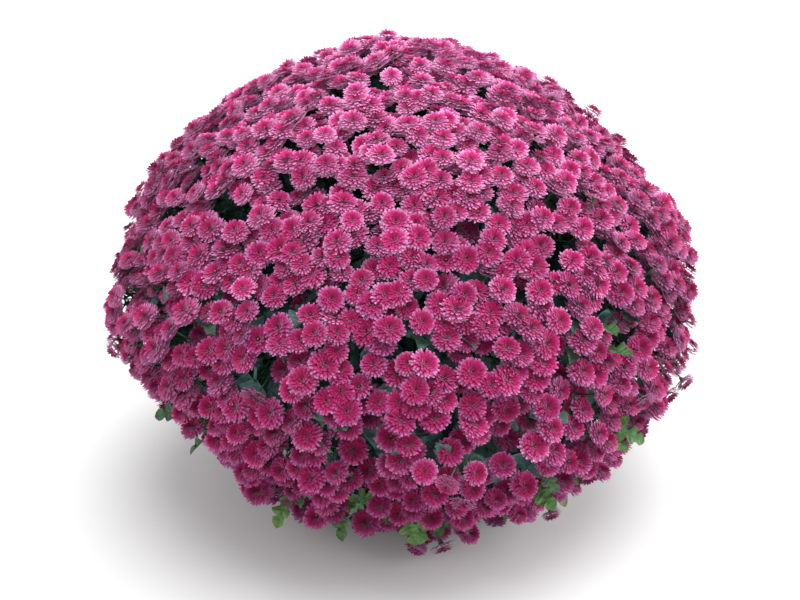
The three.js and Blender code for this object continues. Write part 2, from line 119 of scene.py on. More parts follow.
# more of them that show on the outline from the front: latitude, azimuth
STRAYS = (
    (-11, -22), (-14, -24), (-22, -29), (-33, -38), (-41, -48), (-51, -80), (-52, -88), (-5, 200),
    (-17, 208), (81, 141), (50, 1),
)
BUD_COUNT = 120
BUD_RADIUS = 0.0032
MOST_BUDS = 3  # on one node
BLOOMS_PER_NODE = 9
LEAST_NODES = 3
NODE_ROUNDS = 3
NODE_DEPTH = 0.078
LEAVES_PER_NODE = 10
LEAVES_PER_STEM = 10
NECK_LEAF_SHARE = 0.55
LEAF_LENGTH = 0.052
RIM_LEAF_SHARE = 0.11
RIM_LEAF_HEIGHT = -0.36
SHELTER_DEPTH = 0.010  # of the inner leaves' tips, below the skin
GROUND_GAP = 0.005  # under the leaves
LOW_BLOOM_RISE = 1.25  # of a bloom's radius, at least, from there up to its base
FLOOR_CLEARANCE = 0.001  # under petals and stalks
STALK_DIP = 0.004  # of a flower stalk below both its ends, at most
# the largest gaps on the front, with dark leaves deep in them: latitude, azimuth, radius in radians
GAPS = (
    (-6, -95, 0.080), (1, -61, 0.060), (-5, -79, 0.066), (31, -75, 0.055), (14, -89, 0.052),
    (-24, -118, 0.052), (-11, -68, 0.044), (-33, -106, 0.050), (19, -68, 0.040), (9, -48, 0.040),
    (-39, -90, 0.036), (3, -128, 0.036), (5, -81, 0.034), (33, -117, 0.034), (-10, -128, 0.034),
    (5, -115, 0.034), (-29, -53, 0.034), (40, -108, 0.032),
)
GAP_KEPT = 0.7  # of the blooms in such a gap, which sit deep
# and where there are no gaps: at the sides and the far edge of the crown
CLOSED = ((8, 196, 0.30), (5, -16, 0.25), (70, 90, 0.30))
# where leaves in the light show among the low blooms: latitude, azimuth, leaves
LEAFY_SPOTS = (
    (-14, -45, 7), (-28, -118, 5), (-24, -102, 4), (-10, -133, 4), (-34, -93, 4), (-20, -63, 3),
    (-28, -52, 4), (8, -50, 2), (-12, 60, 5), (-26, 100, 5), (-20, 150, 5), (-30, 20, 5), (-16, 212, 2),
)
LEAFY_RADIUS = 0.07
LEAFY_SCATTER = 0.5  # of that radius
# where light would come through the ball without more leaves deep in it: latitude, azimuth, leaves
SCREENED_SPOTS = ((5, -118, 7), (-10, -72, 7))
# where the ball is a little fuller or hollower: latitude, azimuth, radius of the patch in radians, height
SWELLS = (
    (80, -60, 0.25, 0.004), (57, 4, 0.20, 0.006), (50, 179, 0.25, 0.011), (8, 195, 0.20, 0.016),
    (-22, 208, 0.30, -0.012), (-50, -105, 0.22, -0.010), (-51, -84, 0.14, 0.021), (-46, -60, 0.25, 0.008),
    (-34, -42, 0.16, -0.008), (-9, -20, 0.16, 0.015), (18, -10, 0.15, 0.004), (30, -6, 0.13, -0.006),
)

rng = np.random.default_rng(41)

# -------- vectors and the skin


def unit(vectors):
    return vectors / np.linalg.norm(vectors, axis=-1, keepdims=True)


def direction_at(latitude, azimuth):
    level = np.cos(latitude)
    return np.stack([level * np.cos(azimuth), level * np.sin(azimuth), np.sin(latitude)], axis=-1)


def skin_reach(direction):
    """Distance from the ball's middle to its skin."""
    x, y, z = np.moveaxis(direction, -1, 0)
    level = np.hypot(x, y)
    height = np.where(z > 0, BALL_RISE, BALL_DROP)
    power = np.where(z > 0, RISE_ROUNDNESS, DROP_ROUNDNESS)
    total = (level / BALL_RADIUS) ** power + (np.abs(z) / height) ** power
    swell = 1 + LUMP * level**2 * np.sin(LUMPS_ROUND * np.arctan2(y, x) + LUMPS_UPWARD * z)
    return swell * total ** (-1 / power)


def skin_point(direction, depth):
    reach = skin_reach(direction) - depth
    points = direction * np.expand_dims(reach, -1)
    points[..., 0] += LOPSIDED * np.maximum(0, -direction[..., 2])
    points[..., 2] += BALL_MIDDLE
    return points


def under_blooms(points):
    """Draws points that reach out among the blooms back under them."""
    middle = np.array([0, 0, BALL_MIDDLE])
    aside = unit(points - middle)
    middle = middle + np.outer(LOPSIDED * np.maximum(0, -aside[:, 2]), [1, 0, 0])
    away = np.linalg.norm(points - middle, axis=1)
    reach = skin_reach(unit(points - middle)) - SHELTER_DEPTH
    return middle + (points - middle) * np.minimum(1, reach / away)[:, None]


def tangents(direction):
    across = unit(np.cross(UP, direction))
    return across, np.cross(direction, across)


def skin_normal(direction, step=0.01):
    across, upward = tangents(direction)
    slopes = []
    for side in (across, upward):
        ahead = skin_point(unit(direction + step * side), 0)
        behind = skin_point(unit(direction - step * side), 0)
        slopes.append(ahead - behind)
    return unit(np.cross(*slopes))


def even_directions(count, lowest, crowding=0.0):
    """Directions that share the skin, from the crown down, a golden angle apart: evenly, or more
    crowded at the crown and sparser at the foot."""
    latitudes = np.linspace(math.pi / 2, math.radians(lowest), LATITUDE_STEPS + 1)
    spine = direction_at(latitudes, np.zeros_like(latitudes))
    reach = skin_reach(spine)
    level, z = reach * np.cos(latitudes), reach * np.sin(latitudes)
    strips = (level[1:] + level[:-1]) / 2 * np.hypot(np.diff(level), np.diff(z))
    strips *= 1 + crowding * np.sin(latitudes[1:])
    area = np.concatenate([[0], np.cumsum(strips)])
    wanted = area[-1] * (np.arange(count) + 0.5) / count
    return direction_at(np.interp(wanted, area, latitudes), np.arange(count) * GOLDEN_ANGLE)


sprays = even_directions(SPRAY_COUNT, SPRAY_LOWEST)

# -------- meshes from arrays

# a cross product shorter than these gives no direction, or a poor one
NO_LENGTH = 1e-6
SHORT_CROSS = 0.1


def new_object(name, data):
    made = bpy.data.objects.new(name, data)
    bpy.context.scene.collection.objects.link(made)
    return made


def ring_angles(count):
    return np.arange(count) * 2 * math.pi / count


def ring_band(count, low, high):
    """Faces between two rings of points, whose first points have these numbers."""
    here = np.arange(count)
    after = (here + 1) % count
    lower = np.stack([low + here, low + after, high + after], 1)
    upper = np.stack([low + here, high + after, high + here], 1)
    return np.concatenate([lower, upper])


def ring_cap(count, ring, tip):
    """Faces from a ring of points to one point."""
    here = np.arange(count)
    return np.stack([ring + here, ring + (here + 1) % count, np.full(count, tip)], 1)


class Growth:
    """Triangles that add up to one mesh, with named numbers on their corners."""

    def __init__(self):
        self.points, self.faces, self.marks, self.count = [], [], [], 0

    def add(self, points, faces, marks):
        self.points.append(points)
        self.faces.append(faces + self.count)
        self.marks.append(marks)
        self.count += len(points)

    def piece(self, name, mark_names, material):
        points = np.concatenate(self.points).astype(np.float32)
        faces = np.concatenate(self.faces).astype(np.int32)
        marks = np.concatenate(self.marks).astype(np.float32)
        mesh = bpy.data.meshes.new(name)
        mesh.vertices.add(len(points))
        mesh.vertices.foreach_set("co", points.ravel())
        mesh.loops.add(faces.size)
        mesh.loops.foreach_set("vertex_index", faces.ravel())
        mesh.polygons.add(len(faces))
        mesh.polygons.foreach_set("loop_start", np.arange(0, faces.size, 3, dtype=np.int32))
        for k, mark_name in enumerate(mark_names):
            attribute = mesh.attributes.new(mark_name, "FLOAT", "POINT")
            attribute.data.foreach_set("value", np.ascontiguousarray(marks[:, k]))
        mesh.materials.append(material)
        mesh.update(calc_edges=True)
        mesh.shade_smooth()
        return new_object(name, mesh)


def turned_to(axis, spin):
    """Rotation that takes +Z to an axis, after a spin round it."""
    side = np.cross(UP, axis)
    if np.linalg.norm(side) < NO_LENGTH:
        side = np.array([1.0, 0.0, 0.0])
    side = unit(side)
    other = np.cross(axis, side)
    c, s = math.cos(spin), math.sin(spin)
    return np.column_stack([c * side + s * other, -s * side + c * other, axis])


def tube(path, radii, sides):
    """Points and faces of an open tube along a path."""
    path = np.asarray(path)
    along = unit(np.gradient(path, axis=0))
    guess = np.cross(along[0], UP)
    if np.linalg.norm(guess) < SHORT_CROSS:
        guess = np.cross(along[0], [1.0, 0.0, 0.0])
    angles = ring_angles(sides)
    rings = []
    side = unit(guess)
    for point, direction, radius in zip(path, along, radii):
        side = unit(side - direction * np.dot(side, direction))
        other = np.cross(direction, side)
        rings.append(point + radius * (np.outer(np.cos(angles), side) + np.outer(np.sin(angles), other)))
    bands = [ring_band(sides, k * sides, (k + 1) * sides) for k in range(len(path) - 1)]
    return np.concatenate(rings), np.concatenate(bands)


def bezier(a, b, c, d, count):
    t = np.linspace(0, 1, count)[:, None]
    return (1 - t) ** 3 * a + 3 * (1 - t) ** 2 * t * b + 3 * (1 - t) * t**2 * c + t**3 * d

# -------- bloom shapes

# whorls of petals from the outside in, in shares of the bloom's radius; tints are places on the petals'
# colour scale, from 0, wine, through 1, silvery pink, to the eye
PETALS = (24, 24, 21, 17, 13, 10, 6)
TIP_RADII = (1.00, 0.97, 0.86, 0.71, 0.54, 0.36, 0.18)
START_SHARES = (0.15, 0.45, 0.50, 0.50, 0.50, 0.45, 0.30)  # of the way from the heart to the tip
START_TINTS = (0.58, 0.38, 0.28, 0.26, 0.22, 0.16, 0.10)
TIP_TINTS = (1.0, 1.0, 0.78, 0.56, 0.44, 0.36, 0.30)
# how far each whorl lies on the dome like scales, rather than rising straight from the heart
SCALE_SHARES = (0.0, 0.35, 0.60, 0.80, 0.90, 1.0, 1.0)
SCALE_TUCK = 0.13  # of the scales' roots below the dome
TINT_SPREAD = 0.10
# how far petals stray at looseness 1, in shares of their spacing, their length and the radius
LOOSE_ANGLES = (-0.7, 0.7)
LOOSE_LENGTHS = (-0.22, 0.16)
LOOSE_LIFTS = (-0.16, 0.16)
# each row of points along a petal: its share of the length, of the width, and how far it sags
OUTER_ROWS = ((0.0, 0.40, 0.0), (0.72, 0.94, 0.07), (1.0, 0.40, 0.0))
INNER_ROWS = ((0.0, 1.0, 0.0), (1.0, 0.58, 0.0))
PETAL_WIDTH = 0.84  # of the room between neighbours
HEART_HEIGHT = -0.20
HOLLOW_RADIUS = 0.32
EYE = 1.25  # the eye's place on the colour scale
EYE_RADIUS = 0.06
EYE_SIDES = 6
EYE_TUCK = 0.04  # of its edge below the hollow's bottom
EYE_RISE = 0.09
EYED_WHORLS = 6
EYED_SHARE = 0.09
FULLER_UPWARD = 0.45  # more for a bloom's draw at the crown
# least draws for a full bloom and an open one
FULL_FROM = 0.6
OPEN_FROM = 0.12
# kinds of bloom: how many shapes, height of the dome, depth of the hollow, and looseness
BLOOM_KINDS = {
    "full": (6, 0.66, 0.20, 0.42),
    "open": (6, 0.52, 0.28, 0.46),
    "cupped": (4, 0.54, 0.55, 0.42),
    "eyed": (3, 0.38, 0.50, 0.46),
}
BUD_SIDES = 8
BUD_FOLDS = 0.12
BUD_RINGS = ((0.5, -0.5, 0.1), (1.0, 0.2, 0.3), (0.85, 1.0, 0.5), (0.3, 1.6, 0.7))  # radius, height, tint
BUD_TIP = (1.5, 0.6)


def dome_height(radius, hollow):
    """Height of a dome of height 1 with a hollow in its middle."""
    return math.sqrt(1 - radius**4) * (1 - hollow * math.exp(-((radius / HOLLOW_RADIUS) ** 2)))


def bloom_shape(top, hollow, loose, eyed=False):
    """A double bloom of radius 1 that faces +Z, its petals spread from the heart to a dome of a height
    with a hollow in the middle: points, faces, and each point's tint and side of the petal."""
    shape = Growth()
    for level, (petals, start, end) in enumerate(zip(PETALS, START_SHARES, TIP_RADII)):
        if eyed and level == EYED_WHORLS:
            break
        share, width, sag = np.array(OUTER_ROWS if level == 0 else INNER_ROWS).T[:, None, :, None]
        angle = rng.random() + np.arange(petals) + loose * rng.uniform(*LOOSE_ANGLES, petals)
        angle = (angle * 2 * math.pi / petals)[:, None, None]
        length = (1 + loose * rng.uniform(*LOOSE_LENGTHS, petals))[:, None, None]
        lift = (loose * rng.uniform(*LOOSE_LIFTS, petals))[:, None, None]
        side = np.array([1.0, -1.0])[None, None, :]
        reach = (start + (1 - start) * share) * length
        dome = top * dome_height(end, hollow)
        root = HEART_HEIGHT + (dome - HEART_HEIGHT) * start
        root += SCALE_SHARES[level] * (top * dome_height(start * end, hollow) - SCALE_TUCK - root)
        radius = end * reach + 0 * side
        rise = (reach - start) / (1 - start)
        height = root + (dome - root) * rise - sag + lift * share + 0 * side
        aside = PETAL_WIDTH * math.pi * end / petals * width * side + 0 * length
        c, s = np.cos(angle), np.sin(angle)
        points = np.stack([radius * c - aside * s, radius * s + aside * c, height], -1).reshape(-1, 3)
        rows = share.shape[1]
        strip = [[1, 3, 2], [1, 2, 0], [3, 5, 4], [3, 4, 2]][: 2 * rows - 2]
        faces = (np.array(strip)[None] + 2 * rows * np.arange(petals)[:, None, None]).reshape(-1, 3)
        tint = START_TINTS[level] + (TIP_TINTS[level] - START_TINTS[level]) * share**2 + 0 * radius
        tint = np.clip(tint + TINT_SPREAD * share * rng.uniform(-1, 1, petals)[:, None, None], 0, 1)
        shape.add(points, faces, np.stack([tint.ravel(), (side + 0 * radius).ravel()], 1))
    if eyed:
        ring = ring_angles(EYE_SIDES)
        height = top * (1 - hollow) - EYE_TUCK
        points = np.stack([EYE_RADIUS * np.cos(ring), EYE_RADIUS * np.sin(ring), 0 * ring + height], 1)
        points = np.vstack([points, [0, 0, height + EYE_RISE]])
        shape.add(points, ring_cap(EYE_SIDES, 0, EYE_SIDES), np.tile([EYE, 0.0], (len(points), 1)))
    return np.concatenate(shape.points), np.concatenate(shape.faces), np.concatenate(shape.marks)


def bud_shape():
    """A closed bud of radius 1, with the folds of its petals."""
    angles = ring_angles(BUD_SIDES)
    folds = 1 + BUD_FOLDS * np.cos(angles * BUD_SIDES / 2)
    points = []
    for radius, height, _ in BUD_RINGS:
        reach = radius * folds
        points.append(np.stack([reach * np.cos(angles), reach * np.sin(angles), 0 * angles + height], 1))
    points = np.vstack([*points, [0, 0, BUD_TIP[0]]])
    starts = BUD_SIDES * np.arange(len(BUD_RINGS))
    faces = [ring_band(BUD_SIDES, low, high) for low, high in zip(starts[:-1], starts[1:])]
    faces.append(ring_cap(BUD_SIDES, starts[-1], len(points) - 1))
    tint = np.append(np.repeat([ring[2] for ring in BUD_RINGS], BUD_SIDES), BUD_TIP[1])
    side = np.append(np.tile([1.0, -1.0], len(points) // 2), 0.0)
    return points, np.concatenate(faces), np.stack([tint, side], 1)


bloom_shapes = {}
for kind, (shape_count, *numbers) in BLOOM_KINDS.items():
    bloom_shapes[kind] = [bloom_shape(*numbers, eyed=kind == "eyed") for _ in range(shape_count)]
bud_shapes = [bud_shape()]


def pick_shape(height):
    """Fuller blooms near the crown, more open and cupped ones lower down."""
    fullness = rng.random() + FULLER_UPWARD * height
    if rng.random() < EYED_SHARE:
        shapes = bloom_shapes["eyed"]
    elif fullness > FULL_FROM:
        shapes = bloom_shapes["full"]
    else:
        shapes = bloom_shapes["open" if fullness > OPEN_FROM else "cupped"]
    return shapes[rng.integers(len(shapes))]

# -------- leaf shape

# one side of a lobed leaf from base to tip, in shares of its length; leaves inside the ball are plainer
LEAF_SIDE = (
    (0.00, 0.012), (0.14, 0.020), (0.21, 0.13), (0.30, 0.20), (0.37, 0.17), (0.42, 0.07), (0.50, 0.21),
    (0.59, 0.27), (0.66, 0.23), (0.70, 0.10), (0.78, 0.17), (0.87, 0.17), (0.95, 0.09), (1.00, 0.0),
)
PLAIN_LEAF_SIDE = (
    (0.0, 0.02), (0.18, 0.03), (0.29, 0.22), (0.38, 0.22), (0.46, 0.12), (0.59, 0.30), (0.71, 0.26),
    (0.80, 0.15), (1.0, 0.0),
)
EDGE_WAVE = 0.24  # of the leaf's half width
PLAIN_EDGE_WAVE = 0.20
EDGE_WAVE_STEP = 2.4  # radians of that wave from one row of points to the next
EDGE_WAVE_PHASES = 6
LEAF_SHAPE_COUNT = 5
# of the first shape, and what each further one adds
LEAF_FOLDS = (0.30, 0.1)
LEAF_ARCHES = (0.08, 0.06)


def leaf_shape(outline, fold, arch, wave):
    """A leaf along +X of length 1, facing +Z: points, faces, and each point's place along and across."""
    along, half = np.array(outline).T
    rows = len(along)
    edge_wave = wave * np.sin(np.arange(rows) * EDGE_WAVE_STEP + rng.random() * EDGE_WAVE_PHASES)
    middle = np.stack([along, np.zeros(rows), -arch * along**2], 1)
    z = -arch * along**2 + fold * half + edge_wave * half
    sides = [np.stack([along, sign * half, z], 1) for sign in (1, -1)]
    points = np.concatenate([middle, *sides])
    here = np.arange(rows - 1)
    left = here + rows
    right = here + 2 * rows
    faces = []
    for a, b, c, d in ((here, here + 1, left + 1, left), (right, right + 1, here + 1, here)):
        faces += [np.stack([a, b, c], 1), np.stack([a, c, d], 1)]
    across = np.concatenate([np.zeros(rows), np.ones(rows), -np.ones(rows)])
    return points, np.concatenate(faces), np.stack([np.tile(along, 3), across], 1)


def leaf_shapes(outline, wave):
    shapes = []
    for k in range(LEAF_SHAPE_COUNT):
        fold = LEAF_FOLDS[0] + LEAF_FOLDS[1] * k
        arch = LEAF_ARCHES[0] + LEAF_ARCHES[1] * k
        shapes.append(leaf_shape(outline, fold, arch, wave))
    return shapes


fine_leaves = leaf_shapes(LEAF_SIDE, EDGE_WAVE)
plain_leaves = leaf_shapes(PLAIN_LEAF_SIDE, PLAIN_EDGE_WAVE)

# -------- where the blooms are

FIELD_WAVES = 24
FIELD_SPREAD = (0.7, 1.3)  # of their lengths


def angle_from(directions, latitude, azimuth):
    """Angle of each direction from the one at a latitude and azimuth in degrees."""
    centre = direction_at(math.radians(latitude), math.radians(azimuth))
    return np.arccos(np.clip(directions @ centre, -1, 1))


def smooth_field(directions, wave):
    """A smooth random number from about -1 to 1 for each direction, made of waves round the ball."""
    waves = wave * unit(rng.normal(size=(FIELD_WAVES, 3))) * rng.uniform(*FIELD_SPREAD, (FIELD_WAVES, 1))
    phases = rng.uniform(0, 2 * math.pi, FIELD_WAVES)
    return np.cos(directions @ waves.T + phases).sum(1) / math.sqrt(FIELD_WAVES)


def even_places():
    """Directions of the places for blooms: even, shaken, and eased apart where they crowd."""
    spacing = math.sqrt(4 * math.pi * BLOOMING_SHARE / BLOOM_PLACES)
    directions = even_directions(BLOOM_PLACES, BALL_LOWEST, CROWN_CROWDING)
    directions = unit(directions + spacing * BLOOM_JITTER * rng.uniform(-1, 1, directions.shape))
    for _ in range(EASE_ROUNDS):
        apart = directions[:, None, :] - directions[None, :, :]
        distance = np.linalg.norm(apart, axis=-1) + np.eye(len(directions))
        crowding = np.maximum(0, EASE_DISTANCE * spacing - distance) / distance
        np.fill_diagonal(crowding, 0)
        directions = unit(directions + EASE_SHARE * (crowding[..., None] * apart).sum(1))
    return directions


def place_blooms():
    """Directions of the blooms, and which of them sit deep, in the gaps or now and then between them."""
    directions = even_places()
    field = smooth_field(directions, GAP_WAVE) + GAP_GRAIN * rng.normal(size=len(directions))
    order = np.argsort(np.argsort(field)) / len(directions)
    deep = order < np.interp(directions[:, 2], GAP_HEIGHTS, GAP_SHARES)
    for latitude, azimuth, radius in CLOSED:
        deep &= angle_from(directions, latitude, azimuth) > radius
    kept = ~deep | (rng.random(len(directions)) > BARE_SHARE)
    leafy_gaps = tuple((latitude, azimuth, LEAFY_RADIUS) for latitude, azimuth, _ in LEAFY_SPOTS)
    for latitude, azimuth, radius in GAPS + leafy_gaps:
        near = angle_from(directions, latitude, azimuth) < radius
        deep |= near
        kept &= ~near | (rng.random(len(directions)) < GAP_KEPT)
    deep |= rng.random(len(directions)) < SUNK_SHARE * (1 - np.maximum(0, directions[:, 2]))
    strays = direction_at(*np.radians(STRAYS).T)
    return np.concatenate([directions[kept], strays]), np.append(deep[kept], np.zeros(len(STRAYS), bool))


blooms, sunk = place_blooms()
BLOOM_COUNT = len(blooms)
bloom_spray = np.argmax(blooms @ sprays.T, axis=1)
bloom_depth = BLOOM_DEPTH - MOUND_HEIGHT * smooth_field(blooms, MOUND_WAVE)
bloom_depth += BLOOM_DEPTH_SPREAD * rng.normal(size=BLOOM_COUNT)
bloom_depth = np.maximum(bloom_depth, LEAST_DEPTH)
for *place, radius, height in SWELLS:
    bloom_depth -= height * np.exp(-((angle_from(blooms, *place) / radius) ** 2))
bloom_depth[sunk] += rng.uniform(*SUNK_DEPTHS, sunk.sum())
lower_half = blooms[:, 2] < STRAY_HEIGHT
stray = lower_half & ~sunk & (rng.random(BLOOM_COUNT) < STRAY_SHARE)
stray[-len(STRAYS) :] = True
bloom_depth[stray] -= rng.uniform(*STRAY_REACH, stray.sum())
bloom_base = skin_point(blooms, bloom_depth)
normals = skin_normal(blooms)
lift = FACE_UP * (1 - FACE_EASE * np.maximum(0, normals[:, 2:]))
lift += FACE_LIFT * np.maximum(0, -normals[:, 2:])
hanging = (blooms[:, 2] < HANGING_HEIGHT) & (rng.random(BLOOM_COUNT) < HANGING_SHARE)
hanging |= stray & lower_half
lift[hanging] = HANGING_TURN
bloom_axis = unit(normals + lift * UP + FACE_SPREAD * rng.normal(size=blooms.shape))
bloom_size = BLOOM_RADIUS * (1 + BLOOM_SPREAD * rng.uniform(-1, 1, BLOOM_COUNT))
bloom_base[:, 2] = np.maximum(bloom_base[:, 2], GROUND_GAP + LOW_BLOOM_RISE * bloom_size)

# -------- materials


def linear(red, green, blue):
    """Shader colour of a screen colour given from 0 to 255."""
    values = [v / 255 for v in (red, green, blue)]
    return (*[v / 12.92 if v <= 0.04045 else ((v + 0.055) / 1.055) ** 2.4 for v in values], 1.0)


class Shader:
    """A new material's node tree, with its Principled shader."""

    def __init__(self, name, roughness):
        self.material = bpy.data.materials.new(name)
        self.material.use_nodes = True
        self.tree = self.material.node_tree
        self.bsdf = self.tree.nodes["Principled BSDF"]
        self.bsdf.inputs["Roughness"].default_value = roughness

    def node(self, kind, inputs=None, **settings):
        node = self.tree.nodes.new(kind)
        for key, value in settings.items():
            setattr(node, key, value)
        for key, value in (inputs or {}).items():
            if isinstance(value, bpy.types.NodeSocket):
                self.tree.links.new(value, node.inputs[key])
            else:
                node.inputs[key].default_value = value
        return node

    def mark(self, name):
        return self.node("ShaderNodeAttribute", attribute_name=name).outputs["Fac"]

    def ramp(self, value, stops):
        node = self.node("ShaderNodeValToRGB", {"Fac": value})
        elements = node.color_ramp.elements
        while len(elements) < len(stops):
            elements.new(0.5)
        for element, (position, colour) in zip(elements, stops):
            element.position = position
            element.color = linear(*colour)
        return node.outputs["Color"]

    def mix(self, share, a, b, blend="MIX"):
        sockets = {0: share, 6: a, 7: b}
        return self.node("ShaderNodeMix", sockets, data_type="RGBA", blend_type=blend).outputs[2]

    def noise(self, scale, detail=3.0):
        place = self.node("ShaderNodeTexCoord").outputs["Object"]
        sockets = {"Vector": place, "Scale": scale, "Detail": detail}
        return self.node("ShaderNodeTexNoise", sockets).outputs["Fac"]

    def maths(self, operation, a, b=0.0):
        return self.node("ShaderNodeMath", {0: a, 1: b}, operation=operation).outputs[0]

    def bump(self, height, distance, strength=1.0):
        sockets = {"Height": height, "Distance": distance, "Strength": strength}
        node = self.node("ShaderNodeBump", sockets)
        self.tree.links.new(node.outputs["Normal"], self.bsdf.inputs["Normal"])

    def colour(self, socket):
        self.tree.links.new(socket, self.bsdf.inputs["Base Color"])
        return self.material


WHITE = (255, 255, 255)
# petals' colours by tint, up to the eye, and their painted shade by tone, which varies at random and rises
# from the lower rim to the crown
PETAL_COLOURS = (
    (0.0, (126, 10, 52)), (0.14, (150, 14, 76)), (0.30, (182, 18, 96)), (0.46, (200, 58, 132)),
    (0.64, (224, 130, 186)), (0.84, (242, 194, 226)), (0.97, (196, 150, 92)),
)
PETAL_PAINTED_SHADE = ((0.0, (192, 170, 200)), (0.5, (203, 172, 190)), (1.0, (248, 232, 242)))
PETAL_SHEEN = (1.0, 0.54, 0.96, 1.0)
FLECKS = 0.14  # share of the colour scale
# leaves' colours with painted light, by tone: paler teal deep inside the ball, dark near the blooms' necks,
# and bright green in the light
LEAF_COLOURS_AND_LIGHT = (
    (0.0, (96, 142, 144)), (0.2, (84, 128, 124)), (0.3, (52, 84, 80)), (0.45, (58, 94, 68)),
    (0.6, (72, 114, 56)), (1.0, (112, 152, 64)),
)
RIB_COLOURS = ((0.0, (150, 170, 112)), (0.10, WHITE), (1.0, WHITE))
RIB_SHARE = 0.6
MOTTLING = ((0.3, (190, 196, 180)), (0.7, WHITE))
VEIN_SLANT = 0.12  # of the leaf's length, from the midrib to the edge
VEIN_WAVES = 50.0  # radians along the leaf
CRUMB_COLOURS = ((0.3, (26, 18, 13)), (0.55, (60, 44, 32)), (0.8, (108, 86, 64)))
PERLITE_COLOURS = ((0.3, (196, 190, 178)), (0.7, (232, 228, 220)))
POT_COLOURS = ((0.35, (30, 32, 33)), (0.62, (46, 47, 47)), (0.85, (92, 86, 76)))


def petal_material():
    shader = Shader("petals", roughness=0.6)
    tint, side, tone_and_painted_light = (shader.mark(name) for name in BLOOM_MARKS)
    grain = shader.maths("SUBTRACT", shader.noise(scale=700.0, detail=4.0), 0.5)
    flecks = shader.maths("MULTIPLY", grain, FLECKS)
    place = shader.maths("MULTIPLY", tint, 1 / EYE)
    colour = shader.ramp(shader.maths("ADD", place, flecks), PETAL_COLOURS)
    # painted shade: the tone darkens blooms on the lower rim and lightens them at the crown
    painted_shade = shader.ramp(tone_and_painted_light, PETAL_PAINTED_SHADE)
    shader.bump(shader.maths("ABSOLUTE", side), distance=0.0005, strength=0.5)
    shader.bsdf.inputs["Specular IOR Level"].default_value = 0.1
    shader.bsdf.inputs["Sheen Weight"].default_value = 0.5
    shader.bsdf.inputs["Sheen Roughness"].default_value = 0.5
    shader.bsdf.inputs["Sheen Tint"].default_value = PETAL_SHEEN
    return shader.colour(shader.mix(1.0, colour, painted_shade, "MULTIPLY"))


def leaf_material():
    shader = Shader("foliage", roughness=0.6)
    along, across, tone_and_painted_light = (shader.mark(name) for name in LEAF_MARKS)
    aside = shader.maths("ABSOLUTE", across)
    rib = shader.ramp(aside, RIB_COLOURS)
    # painted light: the tone picks paler leaves deep in the ball, darker ones at the necks and brighter ones
    # in the light
    blade = shader.mix(RIB_SHARE, shader.ramp(tone_and_painted_light, LEAF_COLOURS_AND_LIGHT), rib, "MULTIPLY")
    slanted = shader.maths("SUBTRACT", along, shader.maths("MULTIPLY", aside, VEIN_SLANT))
    veins = shader.maths("SINE", shader.maths("MULTIPLY", slanted, VEIN_WAVES))
    shader.bump(veins, distance=0.0004, strength=0.5)
    mottled = shader.ramp(shader.noise(scale=160.0), MOTTLING)
    return shader.colour(shader.mix(1.0, blade, mottled, "MULTIPLY"))


def soil_material():
    shader = Shader("soil", roughness=0.95)
    crumbs = shader.ramp(shader.noise(scale=260.0, detail=6.0), CRUMB_COLOURS)
    stone = shader.ramp(shader.noise(scale=420.0, detail=2.0), PERLITE_COLOURS)
    shader.bump(shader.noise(scale=380.0, detail=6.0), distance=0.0016)
    return shader.colour(shader.mix(shader.mark("perlite"), crumbs, stone))


def pot_material():
    shader = Shader("pot", roughness=0.46)
    shader.bump(shader.noise(scale=1200.0, detail=2.0), distance=0.00012, strength=0.5)
    return shader.colour(shader.ramp(shader.noise(scale=16.0, detail=8.0), POT_COLOURS))


BLOOM_MARKS = ("tint", "side", "tone_and_painted_light")
LEAF_MARKS = ("along", "across", "tone_and_painted_light")
petals, foliage, earth, plastic = petal_material(), leaf_material(), soil_material(), pot_material()

# -------- growing the sprays

BLOOM_STRETCHES = (0.85, 1.2)  # of a bloom along its axis
BLOOM_TINTS = (0.84, 1.02)  # of its petals' tints
CROWN_PAINTED_LIGHT = 0.8  # painted light: more of their tints, so paler petals, at the crown
BLOOM_TONES = (0.25, 0.5)  # at the ball's middle: the least, and what is added at most
# painted shade: how far the tone falls towards the lower rim and rises towards the crown
PAINTED_SHADE_RISE = 0.6
OUTSIDE_TONE = 0.43  # leaves as bright as this show outside the ball
DEEP_TONE = 0.2  # of the brightest leaf deep in the ball
# tones on the leaves' colour scale, with painted light: darker for leaves at the necks, brighter for those on
# the rim and in spots in the light
NECK_LEAF_TONES = (0.22, 0.42)
RIM_LEAF_TONES = (0.45, 0.75)
SPOT_LEAF_TONES = (0.48, 0.75)
# lengths of leaves as shares of LEAF_LENGTH
DEEP_LEAVES = (1.0, 1.4)
BRANCH_LEAVES = (0.95, 1.4)
NECK_LEAVES = (0.5, 0.75)
RIM_LEAVES = (0.55, 0.85)
LEAST_SLOPE = -0.1  # of the ways leaves point
FACING_LIFTS = (0, 1.4)
FACING_SPREAD = 0.5
STEM_LEAF_PLACES = (0.35, 0.95)  # along the stem
STEM_LEAF_OUTWARD = 0.3
BRANCH_LEAF_OUTWARD = (0.2, 1.4)
NECK_LEAF_OUTWARD = (0.0, 0.15)
RIM_LEAF_LIFT = 0.15
RIM_LEAF_SPREAD = 0.40
SPOT_LEAF_LIFT = 0.25
SPOT_LEAF_SPREAD = 0.7
# a branch leaves its stem this far along, and lower the further its node is from the spray's middle
BRANCH_START = 0.93
BRANCH_DROP = 0.9
BRANCH_MOST_SPREAD = 0.45
BRANCH_HANDLES = (0.35, 0.4)
BUD_SCATTER = 0.05
BUD_LIFT = 0.4
BUD_SPREAD = 0.4
BUD_BEND = 0.01
BUD_CUP = (0.004, 0.003)  # under its base and over it
# depths under the skin
BUD_DEPTHS = (0.017, 0.030)
RIM_LEAF_DEPTHS = (0.022, 0.045)
SPOT_LEAF_DEPTHS = (0.018, 0.032)
SCREEN_LEAF_DEPTHS = (0.03, 0.07)
TUBE_PLACE = (0.5, 1.0)  # along and across a leaf, away from its rib
